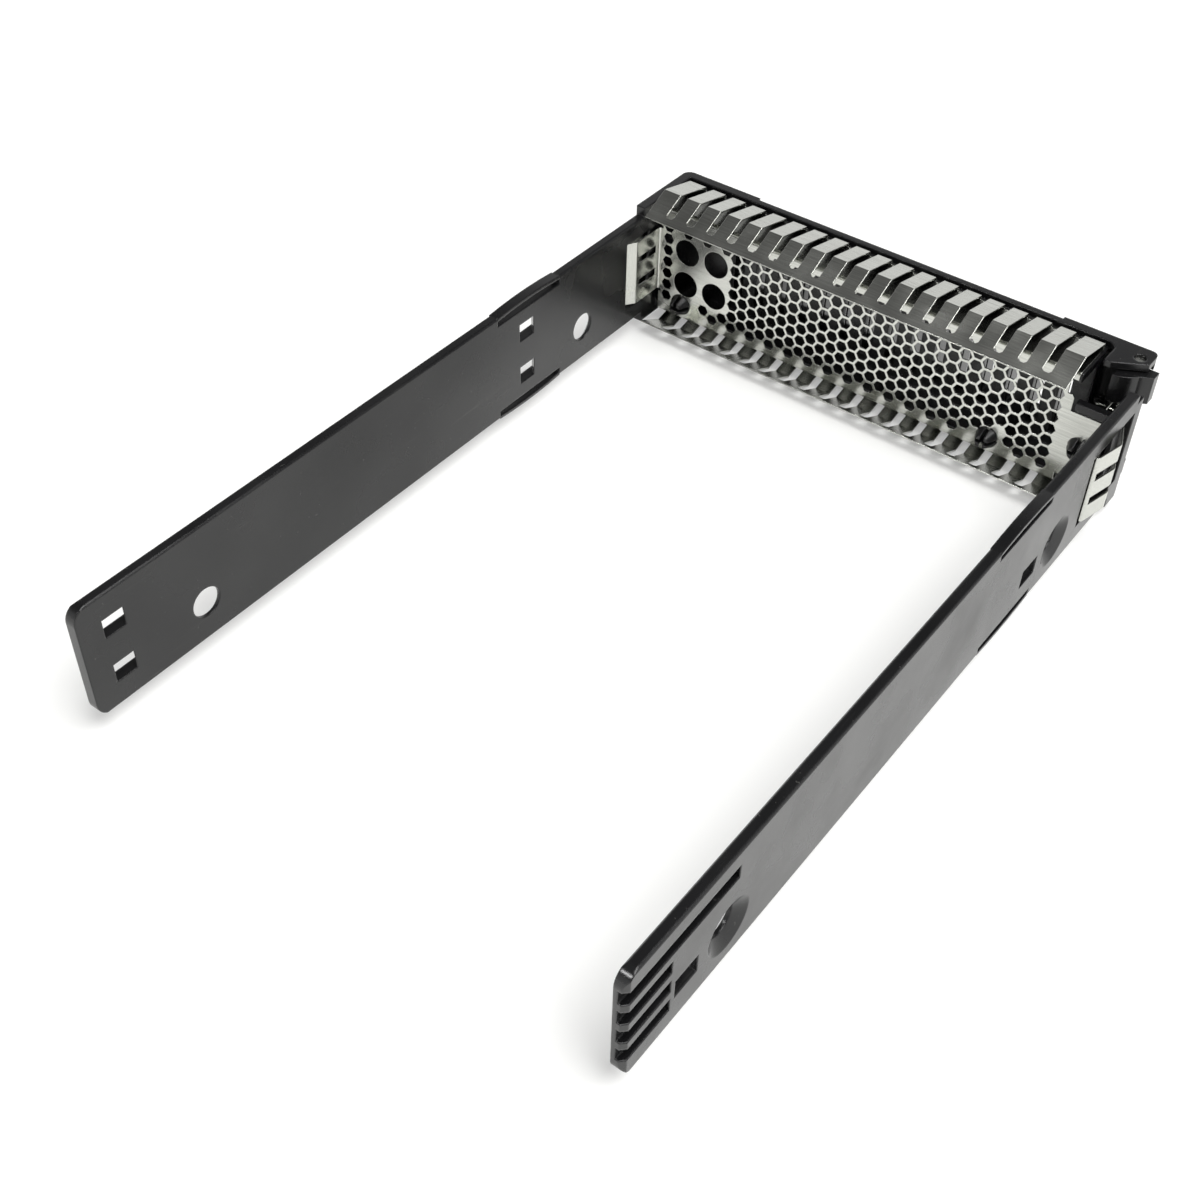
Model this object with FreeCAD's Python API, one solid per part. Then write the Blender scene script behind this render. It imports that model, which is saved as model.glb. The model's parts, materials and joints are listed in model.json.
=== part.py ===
import FreeCAD, Part
import math
import os
from FreeCAD import Vector

# Hard drive caddy for a 3.5 inch drive. Millimetres, +X right, +Y to the front bezel, +Z up.
# The origin is under the middle of the caddy, at the height of its lowest spring fingers.

# Drive that the caddy holds
drive_width = 101.6
hole_pitch = 101.6
drive_side_gap = 0.15

# Rails
rail_thickness = 2.1
rail_height = 23.2
rail_tail = 24.3
rail_corner_r = 2.8
rail_edge_chamfer = 0.3
hole_drop = 4.0
screw_hole_r = 2.9
screw_head_r = 5.0
screw_land = 0.7

# Windows through the rails, placed from the screw holes
left_window_length = 4.1
left_window_height = 3.8
left_window_ahead = 17.6
left_window_rise = 4.9
left_window_flare = 1.9
right_window_length = 5.4
right_window_height = 3.9
right_window_ahead = 10.2

# Grip grooves at the free end of the right rail
groove_count = 4
groove_pitch = 4.45
groove_width = 2.85
groove_first_rise = 7.0
groove_length = 10.4
groove_long_length = 25.8
groove_floor = 0.7
groove_end_chamfer = 0.8

# Edge springs: a slit frees a thin strip of each rail's edge, which bows away from the rail
edge_spring_length = 18.6
edge_spring_ahead = 7.4
edge_spring_height = 0.65
edge_spring_bow = 0.45
edge_slit = 1.1

# Bezel
bezel_reach = 38.4
bezel_wall = 1.75
bezel_corner_r = 1.8
plate_right_inset = 1.75
plate_corner_r = 1.3
plate_slant_inset = 7.65
plate_rear_setback = 7.9
plate_right_setback = 4.5
plate_skirt = 1.1
cheek_depth = 18.0
shelf_half_height = 12.1
recess_depth = 1.4
shelf_chamfer = 0.35
recess_right_gap = 1.85
recess_corner_r = 2.2
lip_depth = 2.0
lip_notch_left_inset = 18.0
lip_notch_right_inset = 20.5
lip_notch_depth = 0.7
front_wall_setback = 4.4
front_wall_thickness = 1.6
front_vent_pitch = 5.2
front_vent_width = 2.2
front_vent_half_height = 7.6
scoop_radius = 9.0
scoop_depth = 2.6
scoop_half_height = 7.0

# Shield: thin sheet, folded
sheet = 0.3
seat_gap = 0.05
web_setback = 13.1
strip_left_gap = 0.9
strip_right_inset = 8.7
finger_count = 19
finger_slot = 1.75
finger_slot_chamfer = 0.4
finger_band = 1.45
strip_rear_setback = 19.2
strip_apex_setback = 12.6
strip_front_setback = 3.2
strip_rear_rise = 0.3
strip_apex_rise = 3.5
strip_front_rise = 1.4
fold_r = 0.6
hairpin_chamfer = 0.35

# Shield web: hexagon lattice of columns, and four round holes
hex_pitch = 2.72
hex_flat = 2.2
hex_margin = 0.2
first_column_inset = 2.04
rim_columns = (2, 4, 5, 6)
field_first_column = 7
field_right_margin = 2.0
round_hole_r = 2.9
round_hole_insets = (6.75, 13.85)
round_hole_rise = 3.78
ear_top = 4.1
ear_bottom_gap = 0.6
web_notch_width = 1.4
web_notch_height = 3.3
ear_corner_r = 0.8

# Shield sides: three fingers that pass through a window in each rail
wing_finger = 3.7
wing_slot = 1.7
wing_gap = 0.3
wing_root_inset = 1.0
wing_relief = 0.6
wing_step_setback = 20.9
wing_step_length = 2.3
wing_lane_inset = 0.9
wing_turn_setback = 26.9
wing_turn_width = 1.15
wing_turn_r = 0.5
wing_bulge = 1.75
wing_bulge_setback = 20.7
wing_apex_r = 1.6
wing_tip_setback = 14.5
wing_tip_inset = 0.65
rail_port_setbacks = (15.8, 23.8)
rail_port_half_height = 7.8
rail_recess = 1.3
rail_recess_setback = 28.3
flange_setback = 11.4
flange_top = 9.6

# Snap posts that hold the shield
post_r = 1.5
post_hole_gap = 0.25
post_head_r = 2.35
post_head_length = 2.2
post_tip_r = 1.35
post_slot = 0.8
post_wall_inset = 1.35
post_left_inset = 5.85
post_right_inset = 14.55
block_post_inset = 5.45
block_post_drop = 3.0

# Lever, its pin and its spring
pivot_inset = 4.0
pivot_setback = 3.45
pin_r = 1.1
pin_gap = 0.05
pin_recess = 0.5
lever_left_inset = 15.55
lever_gap = 0.4
lever_thickness = 3.4
lever_half_height = 10.1
lever_slot_pitch = 5.2
lever_slot_width = 2.2
lever_slot_half_height = 6.6
hub_r = 2.5
chamber_reach = 8.6
block_thickness = 1.7
block_top = 5.9
cam_bottom = 6.0
cam_boss_r = 2.0
cam_heel = (-2.65, -5.35)
cam_root = (1.55, -2.95)
cam_crown = 0.55
lug_reach = 3.95
lug_back = 1.75
lug_ahead = 0.45
spring_wire_r = 0.3
spring_r = 1.9
spring_turns = 5
spring_bottom = 1.9
spring_bay_gap = 0.5
spring_arm = 5.2
spring_stop_width = 1.2

# Places worked out from the sizes above
half_bay = drive_width / 2 + drive_side_gap
half_outer = half_bay + rail_thickness
length = rail_tail + hole_pitch + bezel_reach
y_back = -length / 2
y_front = length / 2
y_holes = (y_back + rail_tail, y_back + rail_tail + hole_pitch)
bezel_half_height = shelf_half_height + recess_depth
strip_rear_half = shelf_half_height + strip_rear_rise
strip_apex_half = shelf_half_height + strip_apex_rise
strip_front_half = shelf_half_height + strip_front_rise
z_mid = strip_apex_half + sheet / 2
y_web = y_front - web_setback
y_seat = y_web + sheet / 2 + seat_gap
y_wall_front = y_front - front_wall_setback
y_wall_back = y_wall_front - front_wall_thickness
inner_half_height = shelf_half_height - bezel_wall
pocket_half_height = lever_half_height + lever_gap
cam_top = shelf_half_height - lever_gap
plate_right = half_outer - plate_right_inset
x_slant = half_outer - plate_slant_inset
y_chamber = y_front - chamber_reach
y_flange = y_front - flange_setback
x_pivot = half_outer - pivot_inset
y_pivot = y_front - pivot_setback
x_wing = half_bay - wing_gap - sheet / 2
x_wing_root = x_wing - wing_root_inset
wing_half_height = 1.5 * wing_finger + wing_slot
wing_slot_rise = (wing_finger + wing_slot) / 2
shield_left = strip_left_gap - half_bay
strip_right = half_bay - strip_right_inset
chamber_left = strip_right + lever_gap
recess_right = strip_right + recess_right_gap
lever_left = lever_left_inset - half_outer
web_half_height = shelf_half_height - 2 * fold_r
ear_bottom = ear_bottom_gap - web_half_height
web_notch_bottom = web_half_height - web_notch_height
spring_top = spring_bottom + 2 * spring_wire_r * spring_turns
wall_posts = ((shield_left + post_left_inset, post_wall_inset - inner_half_height),
              (strip_right - post_right_inset, post_wall_inset - inner_half_height))
block_post = (half_bay - block_post_inset, -block_post_drop)
through = 1.0


def box(x0, x1, y0, y1, rise0, rise1):
    """Box between two corners, with heights counted from the caddy's middle."""
    return Part.makeBox(x1 - x0, y1 - y0, rise1 - rise0, Vector(x0, y0, z_mid + rise0))


def upright(radius, x, y, rise0, rise1):
    """Vertical cylinder."""
    return Part.makeCylinder(radius, rise1 - rise0, Vector(x, y, z_mid + rise0))


def union(shapes):
    """One solid made of shapes that touch or overlap."""
    whole = shapes[0].fuse(shapes[1:])
    return whole.removeSplitter()


def rounded_loop(corners, radii):
    """Closed wire through the corners, with an arc of each corner's radius, or none where it is 0."""
    count = len(corners)
    arcs = []
    for i in range(count):
        corner = corners[i]
        before = Vector(corners[i - 1] - corner).normalize()
        after = Vector(corners[(i + 1) % count] - corner).normalize()
        radius = radii[i]
        if radius <= 0:
            arcs.append((corner, None, corner))
            continue
        half = before.getAngle(after) / 2
        reach = radius / math.tan(half)
        inward = (before + after).normalize() * (radius / math.sin(half) - radius)
        arcs.append((corner + before * reach, corner + inward, corner + after * reach))
    edges = []
    for i in range(count):
        start, middle, end = arcs[i]
        if middle is not None:
            edges.append(Part.Arc(start, middle, end).toShape())
        onward = arcs[(i + 1) % count][0]
        if end.distanceToPoint(onward) > 1e-6:
            edges.append(Part.LineSegment(end, onward).toShape())
    return Part.Wire(edges)


def folded_outline(path, bends):
    """Outline of a sheet folded along a flat path: its corners and their radii, both sides of the sheet."""
    last = len(path) - 1
    sides = ([], [])
    for i in range(last + 1):
        point = Vector(path[i][0], path[i][1], 0)
        ways = []
        if i > 0:
            ways.append((point - Vector(path[i - 1][0], path[i - 1][1], 0)).normalize())
        if i < last:
            ways.append((Vector(path[i + 1][0], path[i + 1][1], 0) - point).normalize())
        normals = [Vector(-way.y, way.x, 0) for way in ways]
        mitre = (normals[0] + normals[-1]) * (1 / (1 + normals[0].dot(normals[-1])))
        turn = ways[0].cross(ways[-1]).z
        for side, sign in zip(sides, (1, -1)):
            radius = 0
            if 0 < i < last:
                radius = max(0, bends[i - 1] - math.copysign(sheet / 2, turn) * sign) if bends[i - 1] else 0
            side.append((point + mitre * (sign * sheet / 2), radius))
    return sides[0] + sides[1][::-1]


def folded_across(path, bends, x0, x1):
    """Sheet folded along a path in the YZ plane (heights from the middle), from x0 to x1."""
    outline = folded_outline(path, bends)
    corners = [Vector(x0, point.x, z_mid + point.y) for point, radius in outline]
    loop = rounded_loop(corners, [radius for point, radius in outline])
    return Part.Face(loop).extrude(Vector(x1 - x0, 0, 0))


def folded_upright(path, bends, rise0, rise1):
    """Sheet folded along a path in the XY plane, between two heights."""
    outline = folded_outline(path, bends)
    corners = [Vector(point.x, point.y, z_mid + rise0) for point, radius in outline]
    loop = rounded_loop(corners, [radius for point, radius in outline])
    return Part.Face(loop).extrude(Vector(0, 0, rise1 - rise0))


def mirrored_sides(shape):
    """Copy of a right-hand shape for the left-hand side."""
    return shape.mirror(Vector(0, 0, 0), Vector(1, 0, 0))


def mirrored_heights(shape):
    """Copy of an upper shape for the underside."""
    return shape.mirror(Vector(0, 0, z_mid), Vector(0, 0, 1))


def flat_plate(corners, radii, x0, x1):
    """Plate in the YZ plane with rounded corners, corners given as (y, rise)."""
    points = [Vector(x0, y, z_mid + rise) for y, rise in corners]
    return Part.Face(rounded_loop(points, radii)).extrude(Vector(x1 - x0, 0, 0))


def plan_block(corners, rise0, rise1):
    """Upright block on a plan with sharp corners, corners given as (x, y)."""
    points = [Vector(x, y, z_mid + rise0) for x, y in corners]
    return Part.Face(Part.makePolygon(points + points[:1])).extrude(Vector(0, 0, rise1 - rise0))


def edge_spring():
    """Strip at the top edge of a right-hand rail, bowed upwards."""
    y1 = y_holes[1] - edge_spring_ahead
    y0 = y1 - edge_spring_length
    y_middle = (y0 + y1) / 2
    top = z_mid + rail_height / 2
    low = top - edge_spring_height
    bow = edge_spring_bow
    x = half_bay
    upper = Part.Arc(Vector(x, y0, top), Vector(x, y_middle, top + bow), Vector(x, y1, top))
    lower = Part.Arc(Vector(x, y1, low), Vector(x, y_middle, low + bow), Vector(x, y0, low))
    front = Part.LineSegment(Vector(x, y1, top), Vector(x, y1, low))
    back = Part.LineSegment(Vector(x, y0, low), Vector(x, y0, top))
    loop = Part.Wire([curve.toShape() for curve in (upper, front, lower, back)])
    return Part.Face(loop).extrude(Vector(rail_thickness, 0, 0))


def edge_slit_cut():
    """Space that is cleared for an edge spring and its slit."""
    y1 = y_holes[1] - edge_spring_ahead
    top = rail_height / 2
    return box(half_bay - through, half_outer + through, y1 - edge_spring_length, y1,
               top - edge_spring_height - edge_slit, top + through)


def plain_rail():
    """Right-hand rail: chamfered edges, rounded end, screw holes and edge springs."""
    half = rail_height / 2
    y_end = y_seat + front_wall_thickness
    edge = rail_edge_chamfer
    inner = half_bay + edge
    outer = half_outer - edge
    section = [Vector(x, y_back, z_mid + rise) for x, rise in (
        (half_bay, edge - half), (inner, -half), (outer, -half), (half_outer, edge - half),
        (half_outer, half - edge), (outer, half), (inner, half), (half_bay, half - edge))]
    bar = Part.Face(rounded_loop(section, [0] * 8)).extrude(Vector(0, y_end - y_back, 0))
    side = flat_plate([(y_back, -half), (y_end, -half), (y_end, half), (y_back, half)],
                      [rail_corner_r, 0, 0, rail_corner_r], half_bay, half_outer)
    rail = bar.common(side)
    cuts = [edge_slit_cut(), mirrored_heights(edge_slit_cut())]
    z_hole = z_mid - hole_drop
    sink = rail_thickness - screw_land
    for y in y_holes:
        cuts.append(Part.makeCylinder(screw_hole_r, rail_thickness + 2 * through,
                                      Vector(half_bay - through, y, z_hole), Vector(1, 0, 0)))
        cuts.append(Part.makeCone(screw_hole_r, screw_head_r, sink,
                                  Vector(half_bay + screw_land, y, z_hole), Vector(1, 0, 0)))
    return union([rail.cut(cuts), edge_spring(), mirrored_heights(edge_spring())])


def flared_window(y, rise):
    """Window through the left rail that widens to the front towards the outside."""
    y0 = y - left_window_length / 2
    y1 = y + left_window_length / 2
    corners = [(-half_bay, y0), (-half_bay, y1), (-half_outer, y1 + left_window_flare), (-half_outer, y0)]
    return plan_block(corners, rise - left_window_height / 2, rise + left_window_height / 2)


def left_rail():
    """Left rail: two small flared windows beside each screw hole."""
    windows = []
    for y_hole in y_holes:
        for rise in (-left_window_rise, left_window_rise):
            windows.append(flared_window(y_hole - left_window_ahead, rise))
    return mirrored_sides(plain_rail()).cut(windows)


def right_rail():
    """Right rail: one window beside each screw hole, and grip grooves open to the free end."""
    cuts = []
    for y_hole in y_holes:
        y = y_hole - right_window_ahead
        cuts.append(box(half_bay - through, half_outer + through,
                        y - right_window_length / 2, y + right_window_length / 2,
                        -hole_drop - right_window_height / 2, -hole_drop + right_window_height / 2))
    for i in range(groove_count):
        rise = groove_first_rise - i * groove_pitch
        reach = groove_long_length if i == 0 else groove_length
        cuts.append(box(half_bay + groove_floor, half_outer + through, y_back - through, y_back + reach,
                        rise - groove_width / 2, rise + groove_width / 2))
    chamfer = [Vector(half_outer - groove_end_chamfer, y_back, z_mid - rail_height / 2 - through),
               Vector(half_outer, y_back, z_mid - rail_height / 2 - through),
               Vector(half_outer, y_back + groove_end_chamfer, z_mid - rail_height / 2 - through)]
    cuts.append(Part.Face(rounded_loop(chamfer, [0, 0, 0])).extrude(Vector(0, 0, rail_height + 2 * through)))
    return plain_rail().cut(cuts)


def bezel_shell():
    """Bezel body with rounded front corners, narrower at the lever's pivot, and the cheek at its left."""
    corners = [Vector(x, y, z_mid - bezel_half_height) for x, y in (
        (-half_outer, y_seat), (half_outer, y_seat), (half_outer, y_chamber), (plate_right, y_chamber),
        (plate_right, y_front), (-half_outer, y_front))]
    plan = Part.Face(rounded_loop(corners, [0, 0, 0, 0, plate_corner_r, bezel_corner_r]))
    body = plan.extrude(Vector(0, 0, 2 * bezel_half_height))
    cheek = box(-half_outer, -half_bay, y_front - cheek_depth, y_seat + through,
                -bezel_half_height, bezel_half_height)
    return body.fuse(cheek)


def strip_recess():
    """Space over the bezel's top for the shield's fingers, with a chamfer for the sheet's fold."""
    x0 = -half_bay
    x1 = recess_right
    y0 = y_seat - through
    y1 = y_front - lip_depth
    z = z_mid + shelf_half_height
    corners = [Vector(x0, y0, z), Vector(x1, y0, z), Vector(x1, y1, z), Vector(x0, y1, z)]
    loop = rounded_loop(corners, [0, 0, recess_corner_r, 0])
    space = Part.Face(loop).extrude(Vector(0, 0, bezel_half_height - shelf_half_height + through))
    edge = [(y_seat - shelf_chamfer, shelf_half_height), (y_seat + shelf_chamfer, shelf_half_height),
            (y_seat - shelf_chamfer, shelf_half_height - 2 * shelf_chamfer)]
    return space.fuse(flat_plate(edge, [0, 0, 0], x0, x1))


def front_vents():
    """Upright vents through the bezel's front wall, behind the lever."""
    vents = []
    count = int((chamber_left - lever_left) / front_vent_pitch)
    for i in range(count):
        x = lever_left + (i + 0.5) * front_vent_pitch
        vents.append(box(x - front_vent_width / 2, x + front_vent_width / 2, y_wall_back - through,
                         y_wall_front + through, -front_vent_half_height, front_vent_half_height))
    return vents


def open_top():
    """Space above the block, behind the top plate's rear edge, which slants forward to the right."""
    beyond = half_outer + through
    y0 = y_seat - through
    y_right = y_front - plate_right_setback
    y_left = y_front - plate_rear_setback
    corners = [(chamber_left, y0), (half_bay, y0), (half_bay, y_chamber), (beyond, y_chamber),
               (beyond, y_right), (plate_right, y_right), (x_slant, y_left), (chamber_left, y_left)]
    return plan_block(corners, block_top, bezel_half_height + through)


def bezel_cuts():
    """Everything that is hollowed out of the bezel."""
    inner = inner_half_height
    pocket = pocket_half_height
    above = bezel_half_height + through
    beyond = half_outer + through
    y_open = y_seat - through
    y_block = y_seat + block_thickness
    y_out = y_front + through
    y_plate = y_front - plate_rear_setback
    y_skirt = y_front - plate_skirt
    cuts = [strip_recess(), mirrored_heights(strip_recess()), open_top()]
    cuts.append(box(-half_bay, chamber_left, y_open, y_wall_back, -inner, inner))
    cuts.append(box(chamber_left - through, half_bay, y_block, y_wall_back, -inner, inner))
    cuts.append(box(half_bay, beyond, y_flange, y_chamber, flange_top, above))
    cuts.append(box(half_bay - through, beyond, y_open, y_flange, rail_height / 2, above))
    cuts.append(box(lever_left - lever_gap, beyond, y_wall_front, y_out, -pocket, pocket))
    cuts.append(box(chamber_left, beyond, y_chamber, y_out, -pocket, pocket))
    cuts.append(box(chamber_left, beyond, y_plate, y_skirt, pocket - through, shelf_half_height))
    cuts.append(box(chamber_left, recess_right, y_plate, y_skirt - lip_depth, pocket - through, above))
    cuts.append(box(lip_notch_left_inset - half_outer, half_outer - lip_notch_right_inset,
                    y_front - lip_notch_depth, y_out, -above, above))
    cuts.append(upright(pin_r + pin_gap, x_pivot, y_pivot, pin_recess - bezel_half_height, above))
    cuts.append(upright(scoop_radius, lever_left - lever_gap, y_front + scoop_radius - scoop_depth,
                        -scoop_half_height, scoop_half_height))
    return cuts + front_vents()


def rail_ports():
    """Windows and outer recesses in both rails for the shield's side fingers."""
    y_near, y_far = [y_front - setback for setback in rail_port_setbacks]
    half = rail_port_half_height
    beyond = half_outer + through
    window = box(half_bay - through, beyond, y_far, y_near, -half, half)
    recess = box(half_outer - rail_recess, beyond, y_front - rail_recess_setback, y_flange, -half, half)
    ports = [window, recess]
    return ports + [mirrored_sides(port) for port in ports]


def snap_post(x, rise, y_base):
    """Post with a barbed head, split crosswise, that stands through the shield's web, and its boss."""
    back = Vector(0, -1, 0)
    base = Vector(x, y_base, z_mid + rise)
    y_barb = y_web - sheet / 2 - seat_gap
    y_tip = y_barb - post_head_length
    boss = Part.makeCylinder(post_head_r, base.y - y_seat, base, back)
    stem = Part.makeCylinder(post_r, base.y - y_barb + post_head_length / 2, base, back)
    head = Part.makeCone(post_head_r, post_tip_r, post_head_length, Vector(x, y_barb, z_mid + rise), back)
    post = boss.fuse([stem, head])
    half = post_slot / 2
    reach = post_head_r + through
    splits = [box(x - half, x + half, y_tip - through, y_barb + through, rise - reach, rise + reach),
              box(x - reach, x + reach, y_tip - through, y_barb + through, rise - half, rise + half)]
    return post.cut(splits)


def carrier_frame():
    """Bezel, rails and posts: one moulding."""
    shell = bezel_shell().cut(bezel_cuts())
    rails = shell.fuse([left_rail(), right_rail()]).cut(rail_ports())
    posts = [snap_post(x, rise, y_wall_back + through) for x, rise in wall_posts]
    posts.append(snap_post(block_post[0], block_post[1], y_seat + block_thickness))
    return union([rails] + posts)


def finger_strip():
    """Top strip: flange on the bezel's shelf, hairpin at the front, and arched fingers joined at the rear."""
    flange = shelf_half_height + seat_gap + sheet / 2
    y_hairpin = y_front - strip_front_setback
    y_rear = y_front - strip_rear_setback
    turn = hairpin_chamfer
    path = [(y_web, web_half_height), (y_web, flange), (y_hairpin - turn, flange), (y_hairpin, flange + turn),
            (y_hairpin, strip_front_half - turn), (y_hairpin - turn, strip_front_half),
            (y_front - strip_apex_setback, strip_apex_half), (y_rear, strip_rear_half)]
    strip = folded_across(path, [fold_r, 0, 0, 0, 0, 0], shield_left, strip_right)
    pitch = (strip_right - shield_left) / finger_count
    half = finger_slot / 2
    corner = finger_slot_chamfer
    y_slot = y_rear + finger_band
    y_end = y_hairpin + through
    slots = []
    for i in range(1, finger_count):
        x = shield_left + i * pitch
        plan = [(x - half, y_end), (x - half, y_slot + corner), (x - half + corner, y_slot),
                (x + half - corner, y_slot), (x + half, y_slot + corner), (x + half, y_end)]
        slots.append(plan_block(plan, flange + sheet, strip_apex_half + through))
    return strip.cut(slots)


def hexagon(x, rise):
    """Flat-topped hexagonal hole of the lattice as a wire."""
    reach = hex_flat / math.sqrt(3)
    y = y_web + sheet / 2
    corners = []
    for i in range(6):
        angle = math.radians(60 * i)
        corners.append(Vector(x + reach * math.cos(angle), y, z_mid + rise + reach * math.sin(angle)))
    return Part.makePolygon(corners + corners[:1])


def hexagon_places():
    """Centres of the lattice: columns from the web's left edge, every second one moved by half a row."""
    column_pitch = hex_pitch * math.sqrt(3) / 2
    x_first = shield_left + first_column_inset
    count = int((strip_right - field_right_margin - x_first) / column_pitch) + 1
    highest = (web_half_height - hex_margin - hex_flat / 2) / hex_pitch
    places = []
    for column in range(count):
        offset = 0.5 * (column % 2)
        rows = int(highest - offset) + offset
        steps = int(2 * rows) + 1
        if column in rim_columns:
            kept = (0, steps - 1)
        elif column == 0 or column >= field_first_column:
            kept = range(steps)
        else:
            kept = ()
        places += [(x_first + column * column_pitch, (step - rows) * hex_pitch) for step in kept]
    return places


def web_holes():
    """Wires of every hole in the web: the hexagon field, four round holes and the post holes."""
    posts = wall_posts + (block_post,)
    clear = post_r + post_hole_gap + hex_flat * 0.75
    notch_x = strip_right - web_notch_width - hex_margin - hex_flat / math.sqrt(3)
    notch_rise = web_notch_bottom - hex_margin - hex_flat / 2
    holes = []
    for x, rise in hexagon_places():
        in_notch = x > notch_x and rise > notch_rise
        if not in_notch and all(math.hypot(x - post[0], rise - post[1]) > clear for post in posts):
            holes.append(hexagon(x, rise))
    rounds = [(x, rise, post_r + post_hole_gap) for x, rise in posts]
    for inset in round_hole_insets:
        rounds += [(shield_left + inset, rise, round_hole_r) for rise in (-round_hole_rise, round_hole_rise)]
    for x, rise, radius in rounds:
        centre = Vector(x, y_web + sheet / 2, z_mid + rise)
        holes.append(Part.Wire(Part.makeCircle(radius, centre, Vector(0, 1, 0))))
    return holes


def web_plate():
    """Perforated web between the strips, with the right-hand ear and the roots of the side fingers."""
    join = web_half_height
    relief = wing_half_height + wing_relief
    left = shield_left
    right = strip_right
    root = x_wing_root
    notch = strip_right - web_notch_width
    corners = [(left, join), (left, relief), (-root, relief), (-root, -relief), (left, -relief),
               (left, -join), (right, -join), (right, ear_bottom), (root, ear_bottom), (root, ear_top),
               (right, ear_top), (right, web_notch_bottom), (notch, web_notch_bottom), (notch, join)]
    points = [Vector(x, y_web + sheet / 2, z_mid + rise) for x, rise in corners]
    outer = rounded_loop(points, [0] * 9 + [ear_corner_r, 0, ear_corner_r, 0, 0])
    return Part.Face([outer] + web_holes()).extrude(Vector(0, -sheet, 0))


def side_fingers():
    """Right-hand side wing: slotted inner leg, step out through the rail, U-turn, three bowed fingers."""
    x_lane = half_outer - wing_lane_inset
    x_turn = x_lane + wing_turn_width
    x_bulge = half_outer + wing_bulge
    y_step = y_front - wing_step_setback
    y_turn = y_front - wing_turn_setback
    y_bulge = y_front - wing_bulge_setback
    y_tip = y_front - wing_tip_setback
    path = [(x_wing_root, y_web), (x_wing, y_web), (x_wing, y_step), (x_lane, y_step - wing_step_length),
            (x_lane, y_turn), (x_turn, y_turn), (x_bulge, y_bulge), (half_outer - wing_tip_inset, y_tip)]
    bends = [fold_r, fold_r, fold_r, wing_turn_r, wing_turn_r, wing_apex_r]
    wing = folded_upright(path, bends, -wing_half_height, wing_half_height)
    beyond = x_bulge + through
    cuts = []
    for rise in (-wing_slot_rise, wing_slot_rise):
        low = rise - wing_slot / 2
        high = rise + wing_slot / 2
        cuts.append(box(x_wing - through, half_bay, y_step + fold_r, y_web - 2 * fold_r, low, high))
        cuts.append(box(x_turn - wing_turn_width / 4, beyond, y_turn + wing_turn_r, y_bulge, low, high))
        cuts.append(box(half_outer - rail_recess, beyond, y_bulge - through, y_tip + through, low, high))
    return wing.cut(cuts)


def emi_shield():
    """Shield: one folded and perforated sheet."""
    right = side_fingers()
    clipped = right.cut(box(x_wing_root - through, x_wing + through, y_web - 3 * fold_r, y_web + through,
                            ear_top, wing_half_height + through))
    strip = finger_strip()
    return union([web_plate(), strip, mirrored_heights(strip), mirrored_sides(right), clipped])


def lever_panel():
    """Front handle of the lever, slotted for air, rounded at its free end."""
    y0 = y_front - lever_gap - lever_thickness
    corners = [Vector(x, y0, z_mid + rise) for x, rise in (
        (lever_left, -lever_half_height), (x_pivot, -lever_half_height),
        (x_pivot, lever_half_height), (lever_left, lever_half_height))]
    loop = rounded_loop(corners, [bezel_corner_r, 0, 0, bezel_corner_r])
    panel = Part.Face(loop).extrude(Vector(0, lever_thickness, 0))
    slots = []
    count = int((chamber_left - lever_left) / lever_slot_pitch) - 1
    for i in range(count):
        x = lever_left + (i + 1.5) * lever_slot_pitch
        slots.append(box(x - lever_slot_width / 2, x + lever_slot_width / 2, y0 - through,
                         y0 + lever_thickness + through, -lever_slot_half_height, lever_slot_half_height))
    return panel.cut(slots)


def lever_cam():
    """Cam plate round the pin with a convex rear wall, and the lug that stands out of the bezel's side."""
    pivot = Vector(x_pivot, y_pivot, z_mid + cam_bottom)
    heel = pivot + Vector(cam_heel[0], cam_heel[1], 0)
    root = pivot + Vector(cam_root[0], cam_root[1], 0)
    chord = (root - heel).normalize()
    crown = (heel + root) * 0.5 + Vector(chord.y, -chord.x, 0) * cam_crown
    lug_rear = pivot + Vector(lug_reach, -lug_back, 0)
    lug_front = pivot + Vector(lug_reach, lug_ahead, 0)
    ahead = pivot + Vector(0, lug_ahead, 0)
    left = pivot - Vector(cam_boss_r, 0, 0)
    height = Vector(0, 0, cam_top - cam_bottom)
    rear_wall = Part.Arc(heel, crown, root).toShape()
    sides = [Part.LineSegment(start, end).toShape() for start, end in (
        (root, lug_rear), (lug_rear, lug_front), (lug_front, ahead), (ahead, left), (left, heel))]
    plate = Part.Face(Part.Wire([rear_wall] + sides)).extrude(height)
    boss = Part.makeCylinder(cam_boss_r, cam_top - cam_bottom, pivot)
    return plate.fuse(boss)


def ejector_lever():
    """Lever: handle, hub with a bay for the spring, spring stop, cam and lug."""
    hub = upright(hub_r, x_pivot, y_pivot, -lever_half_height, lever_half_height)
    y_panel = y_front - lever_gap - lever_thickness
    stop_x = x_pivot - spring_arm
    stop = box(stop_x - spring_stop_width / 2, stop_x + spring_stop_width / 2,
               y_pivot - spring_r + 2 * spring_wire_r, y_panel + through,
               spring_bottom - spring_wire_r, spring_bottom + 3 * spring_wire_r)
    lever = union([lever_panel(), hub, lever_cam(), stop])
    bay = upright(hub_r + spring_bay_gap, x_pivot, y_pivot,
                  spring_bottom - spring_bay_gap, spring_top + spring_bay_gap)
    bore = upright(pin_r + pin_gap, x_pivot, y_pivot, -lever_half_height - through, cam_top + through)
    return lever.cut([bay, bore])


def lever_pin():
    """Steel pin that the lever turns on, held in the bezel's top and bottom walls."""
    return upright(pin_r, x_pivot, y_pivot, -bezel_half_height + pin_recess, bezel_half_height - pin_recess)


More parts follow.
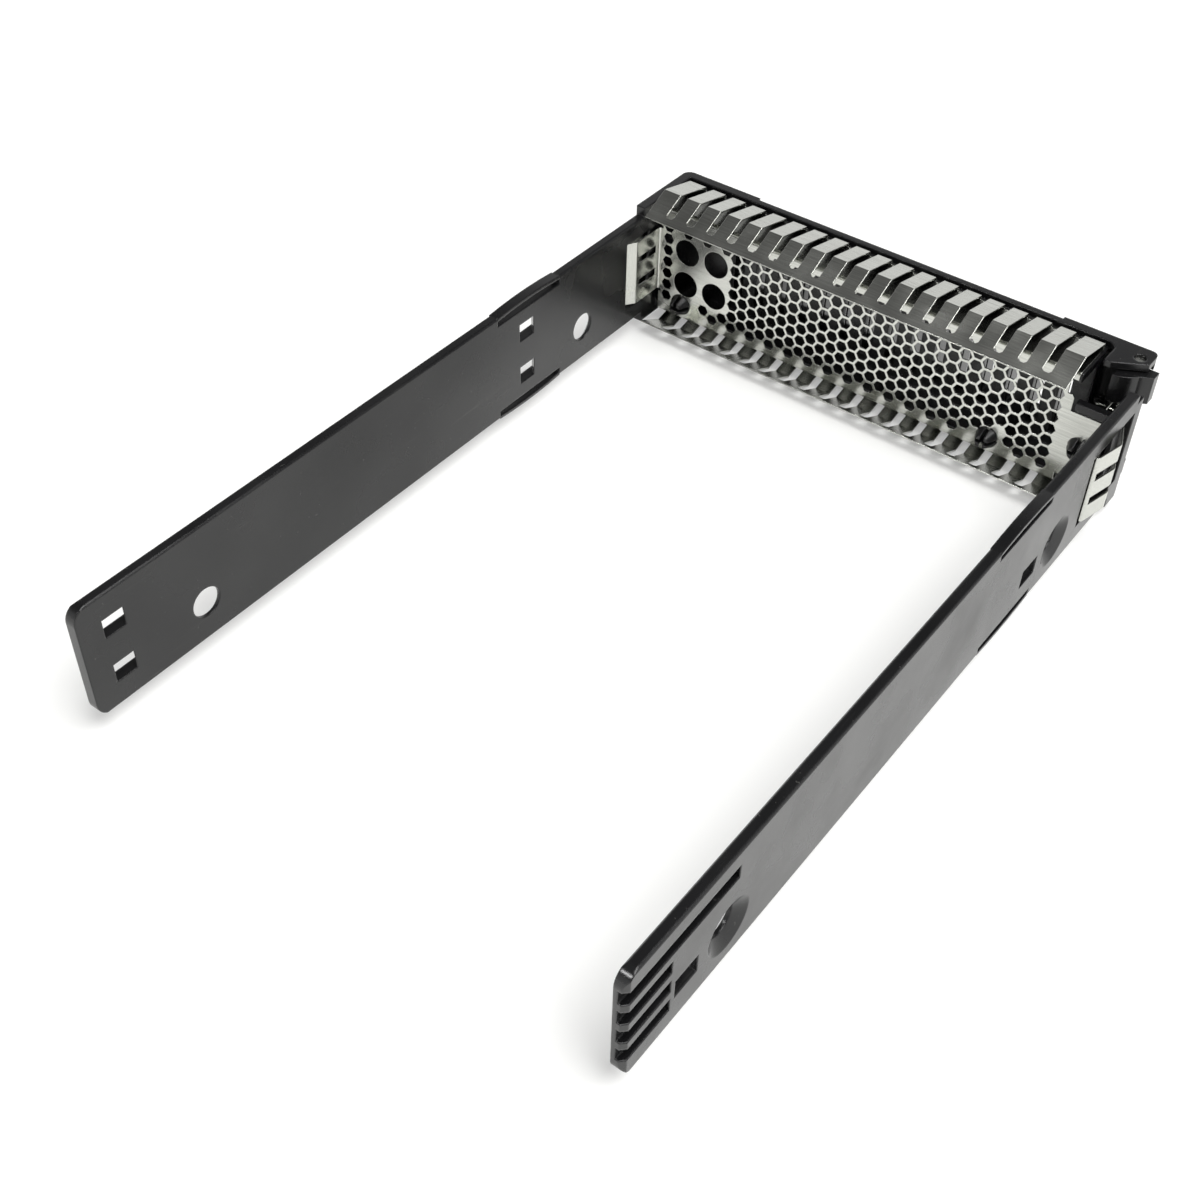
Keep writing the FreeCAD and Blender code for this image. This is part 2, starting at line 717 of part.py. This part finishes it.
def lever_spring():
    """Torsion spring on the pin: close turns, one arm on the lever's stop and one at the bezel's block."""
    wire = spring_wire_r
    bore = spring_r - wire
    bottom = z_mid + spring_bottom
    top = z_mid + spring_top
    profile = [Vector(bore, 0, top), Vector(bore, 0, bottom)]
    for i in range(spring_turns):
        profile.append(Vector(spring_r, 0, bottom + 2 * wire * i))
        profile.append(Vector(spring_r + wire, 0, bottom + 2 * wire * i + wire))
    profile.append(Vector(spring_r, 0, top))
    loop = Part.makePolygon(profile + profile[:1])
    turns = Part.Face(loop).revolve(Vector(0, 0, 0), Vector(0, 0, 1), 360)
    turns.translate(Vector(x_pivot, y_pivot, 0))
    lever_start = Vector(x_pivot, y_pivot - spring_r, bottom + wire)
    lever_arm = Part.makeCylinder(wire, spring_arm, lever_start, Vector(-1, 0, 0))
    fixed_start = Vector(x_pivot - spring_r, y_pivot, top - wire)
    fixed_length = y_pivot - y_seat - block_thickness - wire
    fixed_arm = Part.makeCylinder(wire, fixed_length, fixed_start, Vector(0, -1, 0))
    return union([turns, lever_arm, fixed_arm])


def main():
    os.makedirs("parts", exist_ok=True)
    nodes = {
        "carrier_frame": carrier_frame(),
        "emi_shield": emi_shield(),
        "ejector_lever": ejector_lever(),
        "lever_pin": lever_pin(),
        "lever_spring": lever_spring(),
    }
    for name, shape in nodes.items():
        box_limits = shape.BoundBox
        print(name, "solids", len(shape.Solids), "valid", shape.isValid(), "volume", round(shape.Volume, 1),
              "from", [round(v, 2) for v in (box_limits.XMin, box_limits.YMin, box_limits.ZMin)],
              "to", [round(v, 2) for v in (box_limits.XMax, box_limits.YMax, box_limits.ZMax)])
        shape.exportStep(os.path.join("parts", name + ".step"))


main()
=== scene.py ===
"""Looks of a hard drive caddy: finishes for the CAD nodes, the lever's wound spring, and the stage."""
import json
import math

import bpy
import numpy as np
from mathutils import Matrix, Vector


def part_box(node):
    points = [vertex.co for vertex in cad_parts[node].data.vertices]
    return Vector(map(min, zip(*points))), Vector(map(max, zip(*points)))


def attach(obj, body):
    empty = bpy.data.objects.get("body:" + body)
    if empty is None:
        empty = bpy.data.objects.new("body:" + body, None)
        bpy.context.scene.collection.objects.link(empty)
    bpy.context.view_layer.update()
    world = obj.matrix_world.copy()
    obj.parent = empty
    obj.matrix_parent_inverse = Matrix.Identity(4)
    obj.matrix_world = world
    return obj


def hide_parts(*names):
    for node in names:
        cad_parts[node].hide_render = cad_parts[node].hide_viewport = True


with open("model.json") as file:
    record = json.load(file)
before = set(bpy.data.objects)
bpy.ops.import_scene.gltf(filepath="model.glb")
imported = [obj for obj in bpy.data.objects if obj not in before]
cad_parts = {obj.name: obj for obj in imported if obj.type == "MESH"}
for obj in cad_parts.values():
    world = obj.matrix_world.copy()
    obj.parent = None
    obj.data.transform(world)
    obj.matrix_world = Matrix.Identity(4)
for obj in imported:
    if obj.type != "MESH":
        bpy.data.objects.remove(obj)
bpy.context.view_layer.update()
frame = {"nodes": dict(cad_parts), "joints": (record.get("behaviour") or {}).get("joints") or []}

bl_info = {
    "name": "Hard drive caddy",
    "version": (1, 0, 0),
    "blender": (4, 5, 0),
    "location": "View3D > Sidebar > Caddy",
    "description": "Finishes, wound spring and stage for a hard drive caddy",
    "category": "Object",
}

MM = 0.001
PIVOT = Vector(frame["joints"][0]["pos_m"])

# Moulded plastic: sizes of its marks, and the noise values at which each mark begins and is full
GRAIN_MM = 0.35
GRAIN_DEPTH_MM = 0.03
GRAIN_STRENGTH = 0.12
SCRATCH_MM = 0.9
SCRATCH_TILT = 0.35
SCRATCH_SQUEEZE = 0.045
SPECK_MM = 0.8
SMUDGE_MM = 55.0
SMUDGE_NOISE = (0.35, 0.65)
SMUDGE_SHEEN = (0.34, 0.58)
SCUFF_STOPS = ((0.60, 0.0), (0.74, 1.0))
PATCH_STOPS = ((0.35, 0.0), (0.70, 1.0))
DUST_STOPS = ((0.72, 0.0), (0.76, 1.0))
ABS_IOR = 1.53

# Rolled steel: sizes of its marks, and how dark the painted shade in a crevice is by the share of open
# sky over it
LINE_MM = 0.25
LINE_DEPTH_MM = 0.02
LINE_STRENGTH = 0.06
LINE_SQUEEZE = 0.03
LINE_STOPS = ((0.3, 0.0), (0.7, 1.0))
HAZE_MM = 9.0
HAZE_NOISE = (0.3, 0.7)
PAINTED_SHADE_STOPS = ((0.30, 0.12), (0.62, 1.0))

# Rays that the edge and crevice nodes send
NODE_SAMPLES = 6

# Facets of the spring wire
WIRE_SIDES = 12
POINTS_PER_TURN = 40
POINTS_PER_ARM = 8

# Floor, surround by the height of a ray's direction, and camera film
FLOOR_COLOUR = "#d8d8d6"
FLOOR_NEAR_FAR = (0.3, 1.2)
SKY_STOPS = ((0.0, 1.0), (0.08, 0.95), (0.19, 0.76), (0.44, 0.74),
             (0.55, 0.12), (0.74, 0.06), (0.86, 0.11), (1.0, 0.15))
SENSOR_MM = 36.0
PHOTO_PIXELS = 1200


# Colours and node helpers

def linear(hex_colour):
    """Linear RGBA of an sRGB hex value."""
    parts = [int(hex_colour[i:i + 2], 16) / 255 for i in (1, 3, 5)]
    return [c / 12.92 if c <= 0.04045 else ((c + 0.055) / 1.055) ** 2.4 for c in parts] + [1.0]


def add_node(tree, kind, settings=None, inputs=None):
    """Adds a node, sets its attributes, and fills its inputs. A socket as a value is linked."""
    node = tree.nodes.new(kind)
    for key, value in (settings or {}).items():
        setattr(node, key, value)
    for key, value in (inputs or {}).items():
        if isinstance(value, bpy.types.NodeSocket):
            tree.links.new(value, node.inputs[key])
        else:
            node.inputs[key].default_value = value
    return node


def new_material(name):
    """Empty node material with an output node. Returns the material, its tree and the output."""
    material = bpy.data.materials.new(name)
    material.use_nodes = True
    tree = material.node_tree
    tree.nodes.clear()
    return material, tree, add_node(tree, "ShaderNodeOutputMaterial")


def noise(tree, place, size_mm, detail, fineness):
    """Noise whose features are about this many millimetres across. Returns its value."""
    node = add_node(tree, "ShaderNodeTexNoise", None, {
        "Vector": place, "Scale": 1.0 / (size_mm * MM), "Detail": detail, "Roughness": fineness})
    return node.outputs["Fac"]


def ramp(tree, factor, stops):
    """Colour ramp with the given (position, grey) stops."""
    node = add_node(tree, "ShaderNodeValToRGB", None, {"Fac": factor})
    elements = node.color_ramp.elements
    while len(elements) < len(stops):
        elements.new(0.5)
    for element, (position, grey) in zip(elements, stops):
        element.position = position
        element.color = (grey, grey, grey, 1.0)
    return node.outputs["Color"]


def map_range(tree, value, source, target):
    """Value moved from one (low, high) range to another."""
    node = add_node(tree, "ShaderNodeMapRange", None, {
        "Value": value, "From Min": source[0], "From Max": source[1],
        "To Min": target[0], "To Max": target[1]})
    return node.outputs["Result"]


def combine(tree, operation, first, second):
    """Result of a math operation on two values."""
    node = add_node(tree, "ShaderNodeMath", {"operation": operation}, {0: first, 1: second})
    return node.outputs[0]


def mix_colours(tree, factor, first, second, blend="MIX"):
    """Two colours mixed by a factor."""
    node = add_node(tree, "ShaderNodeMix", {"data_type": "RGBA", "blend_type": blend}, {
        "Factor": factor, "A": first, "B": second})
    return node.outputs["Result"]


def soft_normal(tree, height, strength, depth_mm, edge_mm):
    """Normal that is rounded at sharp edges and carries a fine bump."""
    edge = add_node(tree, "ShaderNodeBevel", {"samples": NODE_SAMPLES}, {"Radius": edge_mm * MM})
    bump = add_node(tree, "ShaderNodeBump", None, {
        "Height": height, "Strength": strength, "Distance": depth_mm * MM,
        "Normal": edge.outputs["Normal"]})
    return bump.outputs["Normal"]


def dress(node_name, material):
    """Gives a CAD node its material."""
    mesh = frame["nodes"][node_name].data
    mesh.materials.clear()
    mesh.materials.append(material)


# Finishes

def moulded_abs(name, colour, worn, gloss_mm, edge_mm, roughness):
    """Black ABS, injection moulded: satin skin with fine grain, softened edges, scuffs in rubbed
    patches, dust specks and wide smudges. The roughness is a (low, high) range."""
    material, tree, output = new_material(name)
    place = add_node(tree, "ShaderNodeTexCoord").outputs["Object"]
    along = add_node(tree, "ShaderNodeMapping", None, {
        "Vector": place, "Rotation": (SCRATCH_TILT, 0.0, 0.0), "Scale": (1.0, SCRATCH_SQUEEZE, 1.0)})
    scratches = noise(tree, along.outputs["Vector"], SCRATCH_MM, detail=5.0, fineness=0.75)
    scuff = ramp(tree, scratches, SCUFF_STOPS)
    patch = ramp(tree, noise(tree, place, gloss_mm, detail=4.0, fineness=0.55), PATCH_STOPS)
    dust = ramp(tree, noise(tree, place, SPECK_MM, detail=2.0, fineness=0.5), DUST_STOPS)
    touched = combine(tree, "MAXIMUM", combine(tree, "MULTIPLY", scuff, patch), dust)
    smudges = noise(tree, place, SMUDGE_MM, detail=3.0, fineness=0.45)
    grain = noise(tree, place, GRAIN_MM, detail=3.0, fineness=0.6)
    shader = add_node(tree, "ShaderNodeBsdfPrincipled", None, {
        "Base Color": mix_colours(tree, touched, linear(colour), linear(worn)),
        "Roughness": map_range(tree, patch, (0.0, 1.0), roughness),
        "IOR": ABS_IOR,
        "Specular IOR Level": map_range(tree, smudges, SMUDGE_NOISE, SMUDGE_SHEEN),
        "Normal": soft_normal(tree, grain, GRAIN_STRENGTH, GRAIN_DEPTH_MM, edge_mm)})
    tree.links.new(shader.outputs["BSDF"], output.inputs["Surface"])
    return material


def rolled_stainless(name, colour, shade, crevice_shade_mm, edge_mm, roughness):
    """Bright rolled stainless: fine rolling lines along X, faint handling haze, softened edges,
    and painted shade that darkens the colour in crevices up to crevice_shade_mm wide. The roughness is
    a (low, high) range."""
    material, tree, output = new_material(name)
    place = add_node(tree, "ShaderNodeTexCoord").outputs["Object"]
    along = add_node(tree, "ShaderNodeMapping", None, {
        "Vector": place, "Scale": (LINE_SQUEEZE, 1.0, 1.0)})
    lines = noise(tree, along.outputs["Vector"], LINE_MM, detail=3.0, fineness=0.6)
    haze = noise(tree, place, HAZE_MM, detail=3.0, fineness=0.5)
    tint = mix_colours(tree, ramp(tree, lines, LINE_STOPS), linear(shade), linear(colour))
    # Painted shade: the colour is darkened in crevices where little open sky is over them
    open_sky = add_node(tree, "ShaderNodeAmbientOcclusion", {"samples": NODE_SAMPLES}, {
        "Distance": crevice_shade_mm * MM})
    painted_shade = ramp(tree, open_sky.outputs["AO"], PAINTED_SHADE_STOPS)
    shader = add_node(tree, "ShaderNodeBsdfPrincipled", None, {
        "Base Color": mix_colours(tree, 1.0, tint, painted_shade, blend="MULTIPLY"),
        "Metallic": 1.0,
        "Roughness": map_range(tree, haze, HAZE_NOISE, roughness),
        "Normal": soft_normal(tree, lines, LINE_STRENGTH, LINE_DEPTH_MM, edge_mm)})
    tree.links.new(shader.outputs["BSDF"], output.inputs["Surface"])
    return material


# Wound spring

def tube_along(path, radius, sides):
    """Vertices and faces of a round tube: at each path point a circle stands across the path.

    The circle's axes are the path's tangent crossed with the upright, and that crossed with the
    tangent again. The two ends are closed by one many-sided face each."""
    tangent = np.gradient(path, axis=0)
    tangent /= np.linalg.norm(tangent, axis=1, keepdims=True)
    across = np.cross(tangent, (0.0, 0.0, 1.0))
    across /= np.linalg.norm(across, axis=1, keepdims=True)
    over = np.cross(across, tangent)
    turn = np.linspace(0, 2 * np.pi, sides, endpoint=False)[None, :, None]
    circle = np.cos(turn) * across[:, None, :] + np.sin(turn) * over[:, None, :]
    rings = path[:, None, :] + radius * circle
    rows = np.arange(len(path) - 1)[:, None] * sides
    here = np.arange(sides)[None, :]
    following = (here + 1) % sides
    quads = np.stack([rows + here, rows + following,
                      rows + sides + following, rows + sides + here], -1)
    last = (len(path) - 1) * sides
    caps = [list(range(sides))[::-1], list(range(last, last + sides))]
    return rings.reshape(-1, 3), quads.reshape(-1, 4).tolist() + caps


def spring_path(low, high, wire, coil, turns):
    """Centre line of the torsion spring: a straight arm along X, a helix about the pivot, and a
    straight arm along Y.

    The helix point is pivot + coil * (cos a, sin a). The angle a starts at -90 degrees and runs
    through the turns, while z rises evenly."""
    z0 = low[2] + wire
    z1 = high[2] - wire
    start = -math.pi / 2
    angle = np.linspace(start, start + turns * 2 * math.pi, int(turns * POINTS_PER_TURN))
    helix = np.stack([PIVOT.x + coil * np.cos(angle), PIVOT.y + coil * np.sin(angle),
                      np.linspace(z0, z1, len(angle))], 1)
    ahead = np.linspace(0, 1, POINTS_PER_ARM)[:, None]
    lever_end = np.array([low[0], PIVOT.y - coil, z0])
    fixed_end = np.array([PIVOT.x - coil, low[1], z1])
    first = lever_end + (helix[0] - lever_end) * ahead[:-1]
    final = helix[-1] + (fixed_end - helix[-1]) * ahead[1:]
    return np.concatenate([first, helix, final])


def mesh_object(name, vertices, faces, material, smooth=True):
    """New object at the origin with this mesh and material."""
    mesh = bpy.data.meshes.new(name)
    mesh.from_pydata(vertices.tolist(), [], faces)
    mesh.polygons.foreach_set("use_smooth", np.full(len(mesh.polygons), smooth))
    mesh.materials.append(material)
    piece = bpy.data.objects.new(name, mesh)
    bpy.context.scene.collection.objects.link(piece)
    return piece


# Stage

def lay_floor(settings):
    """Pale floor that keeps the soft shadow. It shines white for the camera and in reflections,
    and more so far off."""
    material, tree, output = new_material("white_card_floor")
    path = add_node(tree, "ShaderNodeLightPath").outputs
    seen = combine(tree, "MAXIMUM", path["Is Camera Ray"], path["Is Glossy Ray"])
    shown = combine(tree, "MAXIMUM", seen, path["Is Transmission Ray"])
    reach = add_node(tree, "ShaderNodeVectorMath", {"operation": "LENGTH"}, {
        0: add_node(tree, "ShaderNodeTexCoord").outputs["Object"]})
    white = map_range(tree, reach.outputs["Value"], FLOOR_NEAR_FAR, (settings.floor_glow, 1.0))
    glow = add_node(tree, "ShaderNodeEmission", None, {
        "Color": (1, 1, 1, 1), "Strength": combine(tree, "MULTIPLY", shown, white)})
    card = add_node(tree, "ShaderNodeBsdfDiffuse", None, {"Color": linear(FLOOR_COLOUR)})
    both = add_node(tree, "ShaderNodeAddShader", None, {0: glow.outputs[0], 1: card.outputs[0]})
    tree.links.new(both.outputs[0], output.inputs["Surface"])
    half = settings.floor_size / 2
    corners = np.array([(-half, -half, 0), (half, -half, 0), (half, half, 0), (-half, half, 0)])
    floor = mesh_object("floor", corners, [[0, 1, 2, 3]], material, smooth=False)


def light_world(settings):
    """Studio surround: white at the horizon, pale over it, dark above, a little paler overhead."""
    world = bpy.data.worlds.new("studio")
    bpy.context.scene.world = world
    world.use_nodes = True
    tree = world.node_tree
    tree.nodes.clear()
    output = add_node(tree, "ShaderNodeOutputWorld")
    way = add_node(tree, "ShaderNodeSeparateXYZ", None, {
        0: add_node(tree, "ShaderNodeTexCoord").outputs["Generated"]})
    sky = add_node(tree, "ShaderNodeBackground", None, {
        "Color": ramp(tree, way.outputs["Z"], SKY_STOPS), "Strength": settings.surround})
    tree.links.new(sky.outputs[0], output.inputs["Surface"])


def add_softbox(name, place, size, power):
    """Square area lamp that faces the origin."""
    lamp = bpy.data.lights.new(name, "AREA")
    lamp.shape = "SQUARE"
    lamp.size = size
    lamp.energy = power
    lit = bpy.data.objects.new(name, lamp)
    lit.location = place
    lit.rotation_euler = (-Vector(place)).to_track_quat("-Z", "Y").to_euler()
    bpy.context.scene.collection.objects.link(lit)


def place_camera(settings):
    """Camera round the target: back, right and up come from azimuth and elevation, then the
    camera is rolled and moved sideways."""
    azimuth = settings.azimuth
    elevation = settings.elevation
    roll = settings.roll
    back = Vector((math.sin(azimuth) * math.cos(elevation),
                   -math.cos(azimuth) * math.cos(elevation), math.sin(elevation)))
    level = Vector((math.cos(azimuth), math.sin(azimuth), 0))
    upright = back.cross(level)
    right = level * math.cos(roll) + upright * math.sin(roll)
    up = upright * math.cos(roll) - level * math.sin(roll)
    camera_data = bpy.data.cameras.new("photo_camera")
    camera_data.sensor_width = SENSOR_MM
    camera_data.lens = settings.focal_pixels * SENSOR_MM / PHOTO_PIXELS
    camera = bpy.data.objects.new("photo_camera", camera_data)
    place = Vector(settings.target) + back * settings.distance
    place += right * settings.aside + up * settings.above
    turn = Matrix((right, up, back)).transposed().to_4x4()
    camera.matrix_world = Matrix.Translation(place) @ turn
    bpy.context.scene.collection.objects.link(camera)
    bpy.context.scene.camera = camera


# Settings

class CaddyFinishSettings(bpy.types.PropertyGroup):
    """Colours and sizes of the caddy's finishes."""
    plastic: bpy.props.StringProperty(
        name="Plastic", description="sRGB hex of the black plastic", default="#111112")
    plastic_worn: bpy.props.StringProperty(
        name="Worn plastic", description="sRGB hex of rubbed plastic", default="#3a3a38")
    steel: bpy.props.StringProperty(
        name="Steel", description="sRGB hex of the sheet steel", default="#d4d5cf")
    steel_shade: bpy.props.StringProperty(
        name="Steel lines", description="sRGB hex of the steel's darker rolling lines",
        default="#bebfb9")
    wire_radius: bpy.props.FloatProperty(
        name="Spring wire radius", description="Half the thickness of the spring's wire",
        default=0.3 * MM, unit="LENGTH", precision=5)
    coil_radius: bpy.props.FloatProperty(
        name="Spring coil radius", description="Radius of the wire's centre line",
        default=1.9 * MM, unit="LENGTH", precision=5)
    coil_turns: bpy.props.FloatProperty(
        name="Spring turns", description="Turns between the spring's two arms", default=4.75)


class CaddyStageSettings(bpy.types.PropertyGroup):
    """Floor, light and camera."""
    floor_size: bpy.props.FloatProperty(
        name="Floor", description="Side of the square floor", default=12.0, unit="LENGTH")
    floor_glow: bpy.props.FloatProperty(
        name="Floor glow", description="Near floor's own white for the camera and reflections",
        default=0.3)
    surround: bpy.props.FloatProperty(
        name="Surround", description="Strength of the studio surround", default=1.0)
    key_place: bpy.props.FloatVectorProperty(
        name="Key place", description="Where the main softbox hangs", default=(0.68, 0.0, 1.55),
        subtype="XYZ_LENGTH")
    key_size: bpy.props.FloatProperty(
        name="Key size", description="Side of the main softbox", default=1.2, unit="LENGTH")
    key_power: bpy.props.FloatProperty(
        name="Key lamp", description="Power of the main softbox", default=35.0, unit="POWER")
    fill_place: bpy.props.FloatVectorProperty(
        name="Fill place", description="Where the second softbox hangs",
        default=(-0.28, -0.70, 0.81), subtype="XYZ_LENGTH")
    fill_size: bpy.props.FloatProperty(
        name="Fill size", description="Side of the second softbox", default=0.16, unit="LENGTH")
    fill_power: bpy.props.FloatProperty(
        name="Fill lamp", description="Power of the second softbox", default=2.0, unit="POWER")
    azimuth: bpy.props.FloatProperty(
        name="Azimuth", description="Camera's angle round the caddy",
        default=math.radians(36.2461), unit="ROTATION")
    elevation: bpy.props.FloatProperty(
        name="Elevation", description="Camera's angle above the floor",
        default=math.radians(43.9954), unit="ROTATION")
    roll: bpy.props.FloatProperty(
        name="Roll", description="Camera's turn about its own axis",
        default=math.radians(1.4144), unit="ROTATION")
    distance: bpy.props.FloatProperty(
        name="Distance", description="From the target to the camera",
        default=277.3735 * MM, unit="LENGTH")
    focal_pixels: bpy.props.FloatProperty(
        name="Focal length", description="In pixels of a frame of 1200", default=1634.2968)
    aside: bpy.props.FloatProperty(
        name="Aside", description="Camera's shift to its right",
        default=-5.7122 * MM, unit="LENGTH", precision=5)
    above: bpy.props.FloatProperty(
        name="Above", description="Camera's shift upwards",
        default=-5.0831 * MM, unit="LENGTH", precision=5)
    target: bpy.props.FloatVectorProperty(
        name="Target", description="Point that the camera turns round",
        default=(0.0, -8.0 * MM, 12.0 * MM), subtype="XYZ_LENGTH")


# Operators

class CADDY_OT_carrier(bpy.types.Operator):
    """Finish the moulded carrier: bezel, rails and posts"""
    bl_idname = "caddy.carrier"
    bl_label = "Carrier finish"

    def execute(self, context):
        finish = context.scene.caddy_finish
        plastic = moulded_abs("abs_moulded_black_carrier", finish.plastic, finish.plastic_worn,
                              gloss_mm=22.0, edge_mm=0.4, roughness=(0.20, 0.34))
        dress("carrier_frame", plastic)
        return {"FINISHED"}


class CADDY_OT_shield(bpy.types.Operator):
    """Finish the folded steel shield"""
    bl_idname = "caddy.shield"
    bl_label = "Shield finish"

    def execute(self, context):
        finish = context.scene.caddy_finish
        sheet = rolled_stainless("stainless_rolled_sheet", finish.steel, finish.steel_shade,
                                 crevice_shade_mm=3.5, edge_mm=0.15, roughness=(0.16, 0.30))
        dress("emi_shield", sheet)
        return {"FINISHED"}


class CADDY_OT_lever(bpy.types.Operator):
    """Finish the ejector lever and its pin"""
    bl_idname = "caddy.lever"
    bl_label = "Lever finish"

    def execute(self, context):
        finish = context.scene.caddy_finish
        plastic = moulded_abs("abs_moulded_black_lever", finish.plastic, finish.plastic_worn,
                              gloss_mm=14.0, edge_mm=0.25, roughness=(0.20, 0.32))
        dress("ejector_lever", plastic)
        steel = rolled_stainless("steel_drawn_pin", finish.steel, finish.steel_shade,
                                 crevice_shade_mm=1.0, edge_mm=0.15, roughness=(0.20, 0.32))
        dress("lever_pin", steel)
        return {"FINISHED"}


class CADDY_OT_spring(bpy.types.Operator):
    """Wind the lever's torsion spring in place of its plain solid"""
    bl_idname = "caddy.spring"
    bl_label = "Wound spring"

    def execute(self, context):
        finish = context.scene.caddy_finish
        low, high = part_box("lever_spring")
        path = spring_path(low, high, finish.wire_radius, finish.coil_radius, finish.coil_turns)
        vertices, faces = tube_along(path, finish.wire_radius, WIRE_SIDES)
        wire = rolled_stainless("steel_drawn_spring_wire", finish.steel, finish.steel_shade,
                                crevice_shade_mm=0.2, edge_mm=0.05, roughness=(0.14, 0.24))
        spring = mesh_object("wound_spring", vertices, faces, wire)
        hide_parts("lever_spring")
        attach(spring, "carrier")
        return {"FINISHED"}


class CADDY_OT_stage(bpy.types.Operator):
    """Set up the floor, the light and the camera"""
    bl_idname = "caddy.stage"
    bl_label = "Stage"

    def execute(self, context):
        settings = context.scene.caddy_stage
        context.scene.view_settings.view_transform = "Standard"
        lay_floor(settings)
        light_world(settings)
        add_softbox("key_softbox", settings.key_place, settings.key_size, settings.key_power)
        add_softbox("fill_softbox", settings.fill_place, settings.fill_size, settings.fill_power)
        place_camera(settings)
        return {"FINISHED"}


class CADDY_PT_panel(bpy.types.Panel):
    """Sidebar panel that lists the caddy's steps"""
    bl_idname = "CADDY_PT_panel"
    bl_label = "Caddy"
    bl_space_type = "VIEW_3D"
    bl_region_type = "UI"
    bl_category = "Caddy"

    def draw(self, context):
        column = self.layout.column()
        for step in STEPS:
            column.operator(step.bl_idname)


STEPS = (CADDY_OT_carrier, CADDY_OT_shield, CADDY_OT_lever, CADDY_OT_spring, CADDY_OT_stage)
CLASSES = (CaddyFinishSettings, CaddyStageSettings) + STEPS + (CADDY_PT_panel,)


def register():
    for cls in CLASSES:
        bpy.utils.register_class(cls)
    bpy.types.Scene.caddy_finish = bpy.props.PointerProperty(type=CaddyFinishSettings)
    bpy.types.Scene.caddy_stage = bpy.props.PointerProperty(type=CaddyStageSettings)


def unregister():
    del bpy.types.Scene.caddy_stage
    del bpy.types.Scene.caddy_finish
    for cls in reversed(CLASSES):
        bpy.utils.unregister_class(cls)


def main():
    register()
    bpy.ops.caddy.carrier()
    bpy.ops.caddy.shield()
    bpy.ops.caddy.lever()
    bpy.ops.caddy.spring()
    bpy.ops.caddy.stage()


if __name__ == "__main__":
    main()
